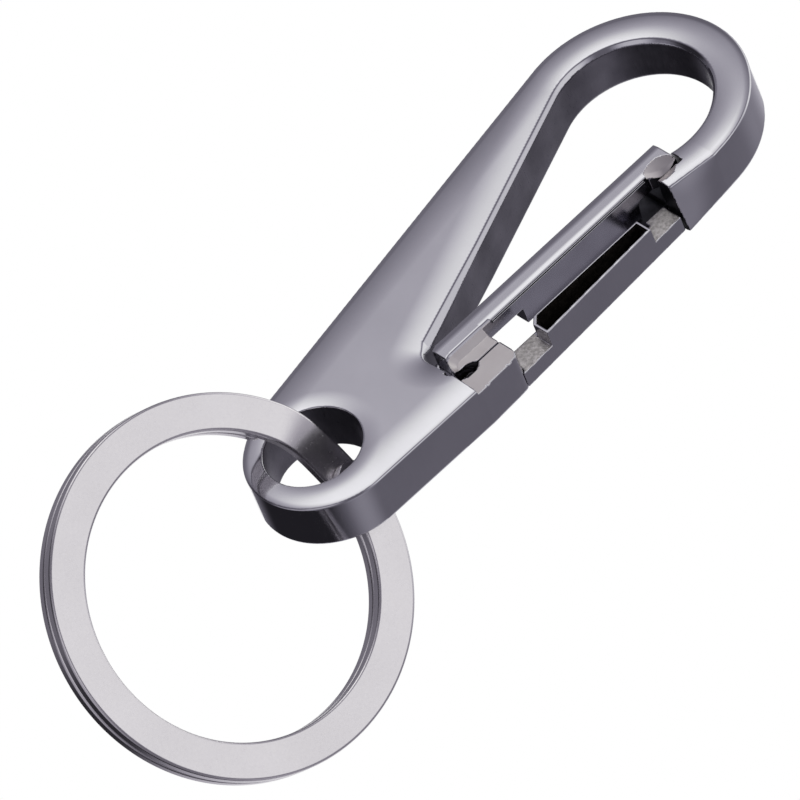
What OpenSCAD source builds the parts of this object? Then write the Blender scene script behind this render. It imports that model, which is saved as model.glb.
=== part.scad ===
// Belt key clip: a cast hook, two half-thickness gate levers on one hidden pin,
// the spring that closes them, and a flat split ring through the eye.
// The clip hangs upright: +Z runs up to the hook, +X to the gate, and -Y is the front face.
// The origin is the centre of the hook's round seat, at mid-thickness.

/* [Body] */
// Thickness of the body from front to back
body_t = 5.2; // [4.6:0.1:6.4]
// Radius of the hook's round seat
seat_r = 7.35; // [6.9:0.05:9]
// Width of the hook's arm round the seat
arm_w = 3.55; // [3.2:0.05:4.2]
// Drop from the seat's centre to the eye's centre
eye_drop = 43.5; // [40:0.5:53]
// Sideways place of the eye's centre, towards the gate
eye_side = 4.4; // [3.6:0.1:5.4]
// Diameter of the eye
eye_d = 9; // [8.8:0.1:10.8]
// Metal left below the eye
eye_wall = 2.1; // [1.7:0.1:2.6]
// Sideways place of the body's gate side, at the lug
side_x = 12.5; // [12.1:0.1:13.4]

/* [Gates] */
// Drop from the seat's centre to the gates' pivot
pivot_drop = 28; // [27:0.5:31]
// Width of the front bar
front_bar_w = 2.25; // [1.85:0.05:2.7]
// Open width between the two bars
bar_gap = 1.8; // [1.5:0.1:2.1]
// Diameter of the hinge pin
pin_d = 1.6; // [1.3:0.05:1.95]
// Width of the lug beside the gates' heels
lug_w = 2.95; // [2.7:0.05:3.3]
// Width of the nose where the gates close
nose_w = 2.25; // [2.05:0.05:2.6]

/* [Spring] */
// Outer diameter of the gate spring
spring_d = 2.2; // [1.8:0.1:2.6]
// Diameter of the spring's wire
wire_d = 0.32; // [0.26:0.02:0.38]
// Number of turns in the spring
spring_turns = 4; // [3:1:5]

/* [Split ring] */
// Outer diameter of the split ring
ring_d = 34; // [29:1:41]
// Width of the ring's flat strip
ring_w = 3.4; // [3:0.1:3.8]
// Thickness of one coil of the strip
coil_t = 1.24; // [1.02:0.02:1.3]
// Angle between the ring and the body's face as it hangs
ring_yaw = 49.5; // [49:0.5:90]

/* [Hidden] */

$fn = 96;
over = 1;

// Rounding of the body's outer edges, of its inner rims and of the bars
crown_w = 1.5;
crown_r = 4.2;
crown_slope = 5;
rim_w = 0.45;
rim_r = 0.8;
rim_slope = 8;
bar_crown_w = 0.75;
bar_crown_r = 1.5;
bar_crown_slope = 6;
edge_lap = 0.6;
edge_step = 0.03;

// Plan of the body, with x across and y up
hook_c = [0, 0];
hook_r = seat_r + arm_w;
end_lift = 0.75;
end_side = 0.6;
eye_c = [eye_side, -eye_drop];
end_c = eye_c + [end_side, end_lift];
end_r = eye_d / 2 + eye_wall + end_lift;
corner_r = 12;
corner_at = 219;

// Pivot, lug and V-shaped foot of the opening
heel_reach = 2.05;
lug_x = side_x - lug_w;
pivot_c = [lug_x - heel_reach, -pivot_drop];
side_drop = 2.5;
side_c = [side_x, pivot_c.y - side_drop];
foot_r = 1.05;
foot_c = pivot_c - [1.5, 1.9];
floor_y = foot_c.y - foot_r;
lug_rise = 2.45;
lug_top = pivot_c.y + lug_rise;
lug_corner_r = 1;
tongue_r = 2.1;
neck_w = 1.25;
neck_rise = 0.6;
neck_foot = pivot_c.y + neck_rise;

// Milled flat over heel and lug, and over tip and nose
facet_d = 0.7;
facet_r = 1.45;
facet_drop = 1.15;
step_lift = 0.05;

// Nose
nose_y = -5.3;
nose_flare = 0.45;
notch_y = -2;

// Depths as shares of the thickness, each from the face that its gate lies on
thin_share = 0.375;
thick_share = 0.72;
rear_share = 0.4;
tongue_shares = [0.385, 0.59];
pocket_share = 0.84;
pin_tip_share = 0.21;

// Running room beside the gates
play = 0.05;
tip_play = 0.1;
flush_gap = 0.1;
end_play = 0.25;
top_play = 0.2;

// Bars, heels and tips of the gates
bar_back = 2.15;
front_bar_x = pivot_c.x - bar_back;
rear_bar_x = front_bar_x + front_bar_w + bar_gap;
heel_top = lug_top - play;
heel_drop = 2;
heel_foot = pivot_c.y - heel_drop;
heel_corner = [0.4, 0.6];
beak_drop = 2.55;
beak_w = 0.35;
tip_top = notch_y - top_play;
tip_h = 2.9;
tip_foot = tip_top - tip_h;
middle_rise = 7.3;
middle_foot = pivot_c.y + middle_rise;
middle_head = nose_y - nose_w;
raised_inset = [1.5, 1.1];
raised_foot = middle_foot - raised_inset[0];
raised_head = middle_head - raised_inset[1];
strip_rise_in = 3.15;
strip_rise_out = 2.35;
strip_head = nose_y - end_play;
rear_tip_inset = 1.4;
tip_clear = 0.3;
raised_corner = 0.7;

// Walls of the pocket in the rear bar
pocket_wall_in = 0.2;
pocket_wall_out = 0.25;
pocket_wall_end = 0.25;

// Spring pocket in the lug, with the scallops that let the heels swing
spring_drop = 1.5;
spring_y = pivot_c.y - spring_drop;
spring_play = 0.12;
spring_lift = 0.15;
scallop_r = 1.73;
scallop_w = 0.65;
spring_wall = 0.9;
spring_seat_x = side_x - spring_wall;
spring_face_x = lug_x - scallop_w;

pin_play = 0.04;

// Split ring: gap between its coils, its place in the eye, and where the strip changes coil
ring_gap = 0.08;
ring_tip = 5.9;
ring_drop = 14.22;
ring_slip = 2.2;
ring_edge = 0.18;
jog_at = 107;
jog_angle = 26;
jog_steps = 8;
jog_lap = 1.2;
jog_inset = 0.03;

// Unit direction at an angle
function dir(a) = [cos(a), sin(a)];
// Angle of a direction
function heading(v) = atan2(v.y, v.x);
// Angle at which the line from p touches the circle of radius r round c, on one side
function touch_angle(p, c, r, s) = heading(p - c) + s * acos(r / norm(p - c));
// Angle at which one line touches two circles, on one side of the way from c1 to c2
function both_angle(c1, r1, c2, r2, s) = heading(c2 - c1) + s * acos((r1 - r2) / norm(c2 - c1));

side_angle = touch_angle(side_c, hook_c, hook_r, 1);
side_top = hook_r * dir(side_angle);
end_angle = touch_angle(side_c, end_c, end_r, -1);
end_touch = end_c + end_r * dir(end_angle);
corner_c = end_c - (corner_r - end_r) * dir(corner_at);
corner_lap = 5;
back_angle = both_angle(corner_c, corner_r, hook_c, hook_r, 1);
back_touch = corner_c + corner_r * dir(back_angle);
wall_angle = both_angle(foot_c, foot_r, hook_c, seat_r, 1);
notch_angle = asin(notch_y / seat_r);

// Place of the gate side at a height
function side_at(y) = (hook_r - y * sin(side_angle)) / cos(side_angle);

nose_x = side_at(nose_y) - nose_w;
tip_x = nose_x - tip_play;
nose_tip = [side_at(nose_y) + nose_flare, nose_y];
nose_angle = touch_angle(nose_tip, hook_c, hook_r, 1);
nose_touch = hook_r * dir(nose_angle);
mouth_y = (lug_top + nose_y) / 2;
mouth_side = [side_at(mouth_y), mouth_y];

// Stands a plan up: plan y becomes Z, and height above mid-thickness points to the front
module upright() {
    rotate([90, 0, 0]) children();
}

// A plan extruded between two shares of the thickness, from the front face
module slab(front_share, back_share) {
    translate([0, 0, body_t / 2 - back_share * body_t])
        linear_extrude((back_share - front_share) * body_t) children();
}

// A cut right through the body
module through_cut() {
    translate([0, 0, -body_t / 2 - over]) linear_extrude(body_t + 2 * over) children();
}

// A cut from the front face to a depth
module front_cut(depth) {
    translate([0, 0, body_t / 2 - depth]) linear_extrude(depth + over) children();
}

// The same cut or edge on the back face
module on_back() {
    mirror([0, 0, 1]) children();
}

module both_faces() {
    children();
    on_back() children();
}

// What a rounded edge loses, with the edge at x = 0 and the metal towards +x
module crown_section(w, r, slope) {
    c = [w + r * sin(slope), body_t / 2 - r * cos(slope)];
    difference() {
        translate([-over, body_t / 2 - w]) square([w + over, w + over]);
        translate(c) circle(r);
    }
}

// Rounds the straight edge from p to q, with the metal on its left
module crown_line(p, q, w, r, slope) {
    translate(p)
        rotate(heading(q - p))
            rotate([90, 0, 90])
                linear_extrude(norm(q - p)) crown_section(w, r, slope);
}

// Rounds the edge of a disc between two angles, lapping some steps deeper over the edges beside it
module crown_disc(c, disc_r, from, to, steps, w, r, slope) {
    translate(c)
        rotate(from - edge_lap)
            rotate_extrude(angle = to - from + 2 * edge_lap)
                translate([disc_r - steps * edge_step, 0]) mirror([1, 0]) crown_section(w, r, slope);
}

// Rounds the rim of a round hole between two angles, lapping in the same way
module crown_hole(c, hole_r, from, to, w, r, slope) {
    translate(c)
        rotate(from - edge_lap)
            rotate_extrude(angle = to - from + 2 * edge_lap)
                translate([hole_r + edge_step, 0]) crown_section(w, r, slope);
}

module body_outline() {
    circle(hook_r);
    translate(end_c) circle(end_r);
    polygon([
        back_touch,
        corner_c,
        end_c,
        end_touch,
        side_c,
        side_top,
        hook_c,
        hook_r * dir(back_angle)
    ]);
    polygon([hook_c, [nose_x, nose_y], nose_tip, nose_touch]);
    intersection() {
        translate(corner_c) circle(corner_r);
        polygon([
            corner_c,
            corner_c + 2 * corner_r * dir(back_angle - corner_lap),
            corner_c + 2 * corner_r * dir((back_angle + corner_at) / 2),
            corner_c + 2 * corner_r * dir(corner_at)
        ]);
    }
}

// The hook's opening, the gates' bay and the mouth between lug and nose
module opening_outline() {
    circle(seat_r);
    translate(foot_c) circle(foot_r);
    polygon([
        foot_c,
        foot_c + foot_r * dir(wall_angle),
        seat_r * dir(wall_angle),
        hook_c
    ]);
    polygon([
        [foot_c.x, floor_y],
        [lug_x, floor_y],
        [lug_x, lug_top],
        [side_x + over, lug_top],
        [side_x + over, nose_y],
        [nose_x, nose_y],
        [nose_x, notch_y],
        [seat_r / 2, notch_y],
        hook_c,
        foot_c
    ]);
    intersection() {
        translate([spring_face_x + 2 * scallop_w - scallop_r, spring_y]) circle(scallop_r);
        translate([lug_x - over, spring_y - scallop_r]) square([over + scallop_r, 2 * scallop_r]);
    }
    lug_corner();
}

// Metal outside the rounded outer corner of the lug
module lug_corner() {
    side_n = dir(side_angle);
    c_y = lug_top - lug_corner_r;
    c = [(hook_r - lug_corner_r - c_y * side_n.y) / side_n.x, c_y];
    difference() {
        polygon([
            c,
            c + (lug_corner_r + over) * side_n,
            [side_x + over, lug_top + over],
            [c.x, lug_top + over]
        ]);
        translate(c) circle(lug_corner_r);
    }
}

// The plate that carries the pin, between the heels of the two gates
module tongue_outline() {
    translate(pivot_c) circle(tongue_r);
    polygon([
        [pivot_c.x - tongue_r, floor_y - over],
        [lug_x + over, floor_y - over],
        [lug_x + over, pivot_c.y + tongue_r],
        [pivot_c.x, pivot_c.y + tongue_r],
        pivot_c,
        [pivot_c.x - tongue_r, pivot_c.y]
    ]);
}

// The milled flat, a slot with round ends centred on the gates' closing line
module facet_outline() {
    foot_y = pivot_c.y - facet_drop;
    head_y = nose_y + facet_r;
    translate([nose_x, foot_y]) circle(facet_r);
    translate([nose_x, head_y]) circle(facet_r);
    translate([nose_x - facet_r, foot_y]) square([2 * facet_r, head_y - foot_y]);
}

module body_crowns() {
    crown_line(side_c - over * (side_top - side_c) / norm(side_top - side_c), mouth_side,
        crown_w, crown_r, crown_slope);
    crown_line(nose_tip - over * (nose_touch - nose_tip) / norm(nose_touch - nose_tip), nose_touch,
        crown_w, crown_r, crown_slope);
    crown_disc(hook_c, hook_r, nose_angle, back_angle, 1, crown_w, crown_r, crown_slope);
    crown_line(hook_r * dir(back_angle), back_touch, crown_w, crown_r, crown_slope);
    crown_disc(corner_c, corner_r, back_angle, corner_at, 1, crown_w, crown_r, crown_slope);
    crown_disc(end_c, end_r, corner_at, end_angle + 360, 2, crown_w, crown_r, crown_slope);
    crown_line(end_touch, side_c + over * (side_c - end_touch) / norm(side_c - end_touch),
        crown_w, crown_r, crown_slope);
}

module rim_crowns() {
    crown_hole(hook_c, seat_r, notch_angle, wall_angle, rim_w, rim_r, rim_slope);
    crown_line(foot_c + foot_r * dir(wall_angle), seat_r * dir(wall_angle),
        rim_w, rim_r, rim_slope);
    crown_hole(foot_c, foot_r, wall_angle, 270, rim_w, rim_r, rim_slope);
    crown_hole(eye_c, eye_d / 2, 0, 360, rim_w, rim_r, rim_slope);
}

// Front step of the lug, the flat on the nose, and the seat of the rear gate's neck
module lug_cuts() {
    step_y = floor_y + step_lift;
    front_cut(facet_d)
        translate([lug_x - over, step_y]) square([lug_w + 2 * over, lug_top - step_y + over]);
    front_cut(facet_d) intersection() {
        facet_outline();
        translate([nose_x - over, nose_y - over]) square([over + facet_r + over, over + 2 * facet_r]);
    }
    on_back() front_cut((1 - tongue_shares[1]) * body_t)
        translate([lug_x - over, neck_foot]) square([over + neck_w, lug_top - neck_foot + over]);
}

// The bore that holds the spring, open towards the heels
module spring_bore() {
    translate([spring_face_x - wire_d, spring_y, 0])
        rotate([0, 90, 0])
            cylinder(h = spring_seat_x - spring_face_x + wire_d, d = spring_d + 2 * spring_play);
}

module hook_body() {
    color("#9a979f") upright() difference() {
        union() {
            difference() {
                slab(0, 1) body_outline();
                through_cut() opening_outline();
            }
            slab(tongue_shares[0], tongue_shares[1]) tongue_outline();
        }
        through_cut() translate(eye_c) circle(eye_d / 2);
        both_faces() body_crowns();
        both_faces() rim_crowns();
        lug_cuts();
        spring_bore();
        through_cut() translate(pivot_c) circle(pin_d / 2);
    }
}

// Heel of either gate, with the scallop that faces the spring
module heel_outline() {
    beak_y = pivot_c.y - beak_drop;
    heel_x = lug_x - play;
    difference() {
        polygon([
            [front_bar_x, heel_foot + heel_corner.y],
            [front_bar_x + heel_corner.x, heel_foot],
            [pivot_c.x, heel_foot],
            [heel_x - 2 * beak_w, beak_y],
            [heel_x - beak_w, beak_y],
            [heel_x, beak_y + beak_w],
            [heel_x, heel_top],
            [front_bar_x, heel_top]
        ]);
        translate([spring_face_x + scallop_r, spring_y]) circle(scallop_r);
    }
}

module front_bar_outline() {
    foot_y = heel_foot + heel_corner.y;
    translate([front_bar_x, foot_y]) square([front_bar_w, tip_top - foot_y]);
}

module front_gate() {
    color("#a8a5ad") upright() difference() {
        union() {
            slab(0, thin_share) {
                front_bar_outline();
                heel_outline();
                translate([front_bar_x, tip_foot]) square([tip_x - front_bar_x, tip_h]);
            }
            slab(0, thick_share)
                translate([front_bar_x, middle_foot]) square([front_bar_w, middle_head - middle_foot]);
        }
        crown_line([front_bar_x, tip_top + over], [front_bar_x, heel_foot - over],
            bar_crown_w, bar_crown_r, bar_crown_slope);
        crown_line([front_bar_x + front_bar_w, heel_top], [front_bar_x + front_bar_w, tip_foot],
            bar_crown_w, bar_crown_r, bar_crown_slope);
        front_cut(facet_d) difference() {
            facet_outline();
            translate([front_bar_x, heel_top])
                square([lug_x - front_bar_x, tip_foot - heel_top]);
        }
        translate([pivot_c.x, pivot_c.y, -body_t / 2])
            cylinder(h = (1 - pin_tip_share) * body_t + play, d = pin_d + 2 * pin_play);
    }
}

// The part of the rear bar between two heights, from an inner to an outer inset
module rear_span(foot_in, foot_out, head, inset, corner) {
    x = rear_bar_x + inset[0];
    polygon([
        [x, foot_in + corner],
        [x + corner, foot_in],
        [side_at(foot_out) - inset[1], foot_out],
        [side_at(head) - inset[1], head],
        [x, head]
    ]);
}

// The neck that joins the rear gate's heel to its strip, behind the lug
module neck_outline() {
    strip_foot = pivot_c.y + strip_rise_in;
    neck_x = lug_x + neck_w - play;
    polygon([
        [pivot_c.x, neck_foot + play],
        [neck_x, neck_foot + play],
        [neck_x, strip_foot],
        [rear_bar_x, strip_foot],
        [pivot_c.x, heel_top]
    ]);
}

// The tip that closes on the nose, behind the tip of the front gate
module rear_tip_outline() {
    x = front_bar_x + rear_tip_inset;
    foot_y = middle_head + tip_clear;
    polygon([
        [x, foot_y],
        [rear_bar_x + raised_corner, foot_y],
        [rear_bar_x + raised_corner, strip_head],
        [tip_x, strip_head],
        [tip_x, tip_top],
        [x, tip_top]
    ]);
}

module rear_gate() {
    foot_in = pivot_c.y + strip_rise_in;
    foot_out = pivot_c.y + strip_rise_out;
    color("#8d8a94") upright() difference() {
        union() {
            slab(1 - rear_share, 1) {
                rear_span(foot_in, foot_out, strip_head, [0, flush_gap], 0);
                heel_outline();
                neck_outline();
                rear_tip_outline();
            }
            slab(1 - thick_share, 1)
                rear_span(raised_foot, raised_foot, raised_head, [0, flush_gap], raised_corner);
        }
        front_cut(pocket_share * body_t)
            rear_span(raised_foot + pocket_wall_end, raised_foot + pocket_wall_end,
                raised_head - pocket_wall_end,
                [pocket_wall_in, flush_gap + pocket_wall_out], raised_corner);
        on_back() crown_line([side_at(foot_out) - flush_gap, foot_out],
            [side_at(strip_head) - flush_gap, strip_head], crown_w, crown_r, crown_slope);
        through_cut() translate(pivot_c) circle(pin_d / 2 + pin_play);
    }
}

module hinge_pin() {
    color("#7c7a80") upright()
        translate([pivot_c.x, pivot_c.y, -body_t / 2])
            cylinder(h = (1 - pin_tip_share) * body_t, d = pin_d);
}

// Triangles of a tube of sections, each with the same number of corners
function tube_skin(steps, sides) = [
    for (i = [0:steps - 1], k = [0:sides - 1])
        let (
            near = i * sides,
            far = near + sides,
            next = (k + 1) % sides
        )
        each [[near + k, near + next, far + next], [near + k, far + next, far + k]]
];

// The two end faces of such a tube
function tube_caps(steps, sides) = [
    [for (k = [0:sides - 1]) sides - 1 - k],
    [for (k = [0:sides - 1]) steps * sides + k]
];

// Point on the centre line of the spring, at a share of its length
function spring_at(t) = [
    spring_face_x + spring_lift + wire_d / 2
        + t * (spring_seat_x - spring_face_x - wire_d - spring_lift - play),
    (spring_d - wire_d) / 2 * cos(360 * spring_turns * t),
    (spring_d - wire_d) / 2 * sin(360 * spring_turns * t)
];

// Ring of points round the wire, at a share of its length
function spring_ring(t, sides) = [
    for (k = [0:sides - 1])
        let (
            a = 360 * spring_turns * t,
            b = 360 * k / sides
        )
        spring_at(t) + wire_d / 2 * [sin(b), cos(a) * cos(b), sin(a) * cos(b)]
];

module gate_spring() {
    sides = 6;
    steps = 8 * spring_turns;
    points = [for (i = [0:steps]) each spring_ring(i / steps, sides)];
    color("#b9b6ba") upright()
        translate([0, spring_y, 0])
            polyhedron(points, concat(tube_skin(steps, sides), tube_caps(steps, sides)));
}

// Corners of the ring's strip in section, drawn in by an inset, with the edges broken
function strip_corners(inset) = let (
    inner = ring_d / 2 - ring_w + inset,
    outer = ring_d / 2 - inset,
    foot = inset,
    head = coil_t - inset
) [
    [inner + ring_edge, foot],
    [outer - ring_edge, foot],
    [outer, foot + ring_edge],
    [outer, head - ring_edge],
    [outer - ring_edge, head],
    [inner + ring_edge, head],
    [inner, head - ring_edge],
    [inner, foot + ring_edge]
];

// The strip's section where it changes coil, at an angle and a share of the rise
function jog_ring(a, share) = [
    for (p = strip_corners(jog_inset))
        [p.x * cos(a), p.x * sin(a), p.y + (1 - cos(180 * share)) / 2 * (coil_t + ring_gap)]
];

// The strip where it changes coil, with its ends lapping into the coils
module strip_jog() {
    sides = len(strip_corners(0));
    steps = jog_steps + 2;
    points = concat(
        jog_ring(-jog_angle / 2 - jog_lap, 0),
        [for (i = [0:jog_steps]) each jog_ring((i / jog_steps - 1 / 2) * jog_angle, i / jog_steps)],
        jog_ring(jog_angle / 2 + jog_lap, 1)
    );
    polyhedron(points, concat(tube_skin(steps, sides), tube_caps(steps, sides)));
}

// Two coils of one strip, in the plane of the ring
module ring_coils() {
    for (level = [0, coil_t + ring_gap])
        translate([0, 0, level])
            rotate(jog_angle / 2)
                rotate_extrude(angle = 360 - jog_angle) polygon(strip_corners(0));
    strip_jog();
}

module split_ring() {
    color("#d3cfd3")
        translate([eye_c.x, 0, eye_c.y])
            rotate([0, 0, ring_yaw]) rotate([-ring_tip, 0, 0])
                translate([ring_slip, 0, -ring_drop])
                    rotate([90, 0, 0])
                        translate([0, 0, -coil_t - ring_gap / 2]) rotate(jog_at) ring_coils();
}

hook_body();
front_gate();
rear_gate();
hinge_pin();
gate_spring();
split_ring();
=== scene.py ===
import math

import bmesh
import bpy
import numpy as np
from mathutils import Matrix, Vector


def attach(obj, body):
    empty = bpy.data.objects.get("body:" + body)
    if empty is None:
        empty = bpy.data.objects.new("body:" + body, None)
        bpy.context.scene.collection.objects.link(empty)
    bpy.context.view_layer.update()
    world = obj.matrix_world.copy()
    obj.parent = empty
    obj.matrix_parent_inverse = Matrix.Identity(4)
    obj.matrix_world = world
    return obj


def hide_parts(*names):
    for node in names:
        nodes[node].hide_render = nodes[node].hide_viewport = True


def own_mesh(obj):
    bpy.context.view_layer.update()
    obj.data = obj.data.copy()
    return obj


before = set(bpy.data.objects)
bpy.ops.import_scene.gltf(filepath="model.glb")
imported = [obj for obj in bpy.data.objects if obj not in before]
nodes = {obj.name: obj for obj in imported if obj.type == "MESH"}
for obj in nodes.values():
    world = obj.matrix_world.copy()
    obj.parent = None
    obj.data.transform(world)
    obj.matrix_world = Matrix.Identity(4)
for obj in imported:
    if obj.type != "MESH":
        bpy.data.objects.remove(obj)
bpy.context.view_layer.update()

MM = 0.001


def mm(x, y, z):
    return Vector((x, y, z)) * MM


# Camera, from the calibration of the photograph's view

RIGHT = Vector((0.657, 0.283, 0.698)).normalized()
DOWN = Vector((0.399, 0.648, -0.643))
DOWN = (DOWN - RIGHT * DOWN.dot(RIGHT)).normalized()
BACK = RIGHT.cross(-DOWN).normalized()
SPAN = 68.97 * MM
FOCAL = 1000.0
SENSOR = 36.0
AIM = mm(6.6, -1.7, -35.1)
CLIP = (0.01, 10)


def make_camera():
    data = bpy.data.cameras.new("camera")
    data.lens = FOCAL
    data.sensor_width = SENSOR
    data.clip_start, data.clip_end = CLIP
    cam = bpy.data.objects.new("camera", data)
    bpy.context.scene.collection.objects.link(cam)
    distance = SPAN / SENSOR * FOCAL
    rotation = Matrix((RIGHT, -DOWN, BACK)).transposed().to_4x4()
    cam.matrix_world = Matrix.Translation(AIM + BACK * distance) @ rotation
    bpy.context.scene.camera = cam


make_camera()

# Sizes of the part, in millimetres, as in the CAD model

BODY_T = 5.2
HALF_T = BODY_T / 2


def level(share):
    """Depth at a share of the body's thickness, counted from the front face."""
    return HALF_T - share * BODY_T


# Hook, arm and eye end
SEAT_R = 7.35
ARM_W = 3.55
HOOK_R = SEAT_R + ARM_W
EYE = np.array((4.4, -43.5))
EYE_R = 4.5
EYE_RIM = 2.1
END_SHIFT = (0.6, 0.75)
END = EYE + END_SHIFT
END_R = EYE_R + EYE_RIM + END_SHIFT[1]
CORNER_R = 12.0
CORNER_AT = math.radians(219)

# Lug, hinge and the foot of the opening
SIDE_X = 12.5
LUG_W = 2.95
LUG_X = SIDE_X - LUG_W
PIVOT = np.array((LUG_X - 2.05, -28.0))
SIDE_C = np.array((SIDE_X, PIVOT[1] - 2.5))
FOOT_R = 1.05
FOOT = PIVOT - (1.5, 1.9)
FLOOR_Y = FOOT[1] - FOOT_R
LUG_TOP = PIVOT[1] + 2.45
LUG_CORNER = 1.0
TONGUE_R = 2.1
TONGUE_FRONT = level(0.385)
TONGUE_BACK = level(0.59)
NECK_W = 1.25
NECK_FOOT = PIVOT[1] + 0.6
PIN_R = 0.8
PIN_PLAY = 0.04
PIN_TIP = level(0.21)

# Flat that is milled across the lug and the front heel
FACET_D = 0.7
FACET_R = 1.45
FACET_DROP = 1.15
STEP_LIFT = 0.05

# Nose
NOSE_Y = -5.3
NOSE_FLARE = 0.45
NOSE_W = 2.25
NOTCH_Y = -2.0

# Gates
PLAY = 0.05
TIP_PLAY = 0.1
TOP_PLAY = 0.2
FLUSH = 0.1
THIN = 0.375
THICK = 0.72
REAR = 0.4
POCKET = 0.84
FRONT_BAR_W = 2.25
BAR_GAP = 1.8
FRONT_X = PIVOT[0] - 2.15
FRONT_RIGHT = FRONT_X + FRONT_BAR_W
REAR_X = FRONT_X + FRONT_BAR_W + BAR_GAP
HEEL_TOP = LUG_TOP - PLAY
HEEL_FOOT = PIVOT[1] - 2.0
HEEL_CORNER = (0.4, 0.6)
BEAK_Y = PIVOT[1] - 2.55
BEAK_W = 0.7
BEAK_CORNER = 0.35
TIP_TOP = NOTCH_Y - TOP_PLAY
TIP_FOOT = TIP_TOP - 2.9
MIDDLE_FOOT = PIVOT[1] + 7.3
MIDDLE_HEAD = NOSE_Y - NOSE_W
RAISED_FOOT = MIDDLE_FOOT - 1.5
RAISED_HEAD = MIDDLE_HEAD - 1.1
RAISED_CORNER = 0.7
STRIP_IN = PIVOT[1] + 3.15
STRIP_OUT = PIVOT[1] + 2.35
STRIP_HEAD = NOSE_Y - 0.25
POCKET_WALL = 0.25
POCKET_SIDE = 0.2

# Spring's pocket
SPRING_Y = PIVOT[1] - 1.5
SPRING_R = 1.1
SPRING_PLAY = 0.12
SCALLOP_R = 1.73
SCALLOP_W = 0.65
SPRING_SEAT_X = SIDE_X - 0.9
SPRING_FACE_X = LUG_X - SCALLOP_W
WIRE = 0.32

# Split ring
RING_R = 17.0
RING_W = 3.4
COIL_T = 1.24
COIL_GAP = 0.08
RING_EDGE = 0.3
RING_YAW = math.radians(49.5)
RING_TIP = math.radians(-5.9)
RING_SLIP = 2.2
RING_DROP = 14.22
JOG_AT = 107
JOG = 26

# Details that only these meshes have, in millimetres too

BODY_EDGE = 0.15
CRISP_EDGE = 0.05
EYE_EDGE = 0.13
NOSE_EDGE = 0.1
FRONT_EDGE = 0.07
REAR_EDGE = 0.06
POCKET_EDGE = 0.03

# Rolled rims of the faces, each as its width and the height lost at its edge, which goes on
# beyond the edge up to a limit
ROLL_LIMIT = 1.6
OUTER_ROLL_NARROW = (0.7, 0.08)
OUTER_ROLL_WIDE = (3.4, 0.24)
RIM_ROLL = (3.2, 0.26)
EYE_ROLL = (1.8, 0.1)
BAR_ROLL_LEFT = (1.0, 0.17)
BAR_ROLL_RIGHT = (0.6, 0.09)
REAR_ROLL = (2.0, 0.4)
REAR_ROLL_PAST = 0.3

# Bevel round the opening: it widens towards the foot, and fades out at the foot's floor
BEVEL_EDGE = 0.09
BEVEL_LEAST = 0.06
BEVEL_ARM = 0.3
BEVEL_FOOT = 0.3
BEVEL_REACH = 12
BEVEL_FADE = 1.4

# Nose: its drafted side, its lifted end, the swell of its inner side and the lens milled there
NOSE_DRAFT = 1.55
NOSE_LIFT = 0.4
NOSE_SWELL = 0.5
SWELL_HALF_H = 1.3
SWELL_RISE = 2
LENS_Y = -3.95
LENS_HALF_W = 0.95
LENS_HALF_H = 1.35
LENS_SLOPE = 0.55

# Front gate: the curved edge of its tip, the lens milled into it, the step behind it,
# the groove along its bar and the slope back up from the heel's flat
TIP_CURVE = ((7.6, TIP_FOOT), (8.12, -4.2), (8.32, -3.2), (8.3, TIP_TOP))
TIP_CHORD = ((7.2, -5.15), (8.4, -1.95))
TIP_LENS_W = 1.0
TIP_OUTER_SLOPE = 0.8
DEEP_FOOT = MIDDLE_FOOT - 0.55
STEP_PLAY = 0.05
STEP_H = 1.7
STEP_D = 1.0
STEP_SHARPNESS = 6
STEP_LEAN = 0.12
GROOVE_D = 2.22
GROOVE_HALF = 0.12
GROOVE_DEPTH = 0.2
GROOVE_START = 1.2
GROOVE_END = 0.3
FLAT_MARGIN = 0.75
FLAT_CLIMB = 0.75

# Rear gate: the strip's wrap round the lug's corner, its tip, and the shelf behind the recess, a
# sheet painted near black as painted shade there
STRIP_WRAP = 1.2
STRIP_END = STRIP_HEAD + 0.12
LUG_GAP = 0.06
REAR_TIP_X = 8.75
REAR_TIP_W = 0.7
REAR_TIP_LAP = 0.1
SHELF_FOOT = -8.3
SHELF_HEAD = TIP_FOOT + 0.3
SHELF_D = -1.25

# How far a shape laps into its neighbour, and a cutter runs out of the metal
LAP = 1.0
RUN_OUT = 2.0
FAR = -99.0


def direction(a):
    return np.array((math.cos(a), math.sin(a)))


def heading(v):
    return math.atan2(v[1], v[0])


def length(v):
    return math.hypot(v[0], v[1])


def touch_angle(p, r):
    """Where the tangent from point p touches a circle of radius r round the seat."""
    return heading(p) + math.acos(r / length(p))


def both_angle(c1, r1, c2, r2):
    """Where the outer tangent of two circles touches them."""
    d = c2 - c1
    return heading(d) + math.acos((r1 - r2) / length(d))


ZERO = np.array((0.0, 0.0))
SIDE_A = touch_angle(SIDE_C, HOOK_R)
END_A = heading(SIDE_C - END) - math.acos(END_R / length(SIDE_C - END))
CORNER = END - (CORNER_R - END_R) * direction(CORNER_AT)
BACK_A = both_angle(CORNER, CORNER_R, ZERO, HOOK_R)
WALL_A = both_angle(FOOT, FOOT_R, ZERO, SEAT_R)


def side_at(y):
    return (HOOK_R - y * math.sin(SIDE_A)) / math.cos(SIDE_A)


NOSE_X = side_at(NOSE_Y) - NOSE_W
LENS_X = NOSE_X - NOSE_SWELL
TIP_X = NOSE_X - TIP_PLAY
NOSE_TIP = np.array((side_at(NOSE_Y) + NOSE_FLARE, NOSE_Y))
NOSE_A = touch_angle(NOSE_TIP, HOOK_R)
MOUTH_Y = (LUG_TOP + NOSE_Y) / 2

# Distance functions: negative in the metal, in plan x, y and depth d towards the front


def half_plane(x, y, p, normal):
    return (x - p[0]) * normal[0] + (y - p[1]) * normal[1]


def disc(x, y, c, r):
    return np.hypot(x - c[0], y - c[1]) - r


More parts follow.
